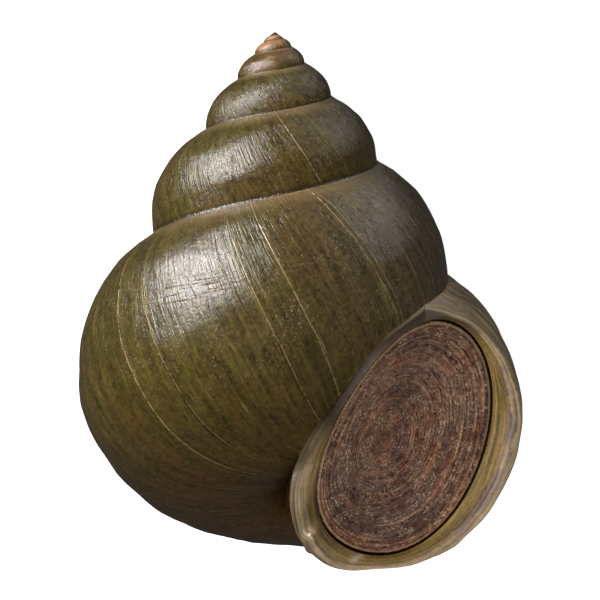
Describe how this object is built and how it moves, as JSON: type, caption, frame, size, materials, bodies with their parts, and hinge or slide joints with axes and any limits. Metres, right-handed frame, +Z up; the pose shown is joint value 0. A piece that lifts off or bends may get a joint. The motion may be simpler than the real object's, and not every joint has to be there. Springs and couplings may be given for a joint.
{
  "type": "mystery snail shell",
  "caption": "Adult right-handed freshwater snail shell lying on its side, its mouth closed by a ringed horny lid",
  "frame": {"origin": "On the floor, under the middle of the resting shell's bounding box", "axes": "+Z is up with the shell at rest on its side, the mouth looks towards -Y and half up, and the pointed tip lies low towards +X and -Y"},
  "size_m": [0.0524, 0.0478, 0.0426],
  "materials": {
    "shell": "glossy olive-brown outer skin over lime shell, fine growth lines",
    "operculum": "satin reddish-brown horn with concentric rings"
  },
  "bodies": {
    "root": {"shell": "shell", "operculum": "operculum"}
  },
  "joints": []
}
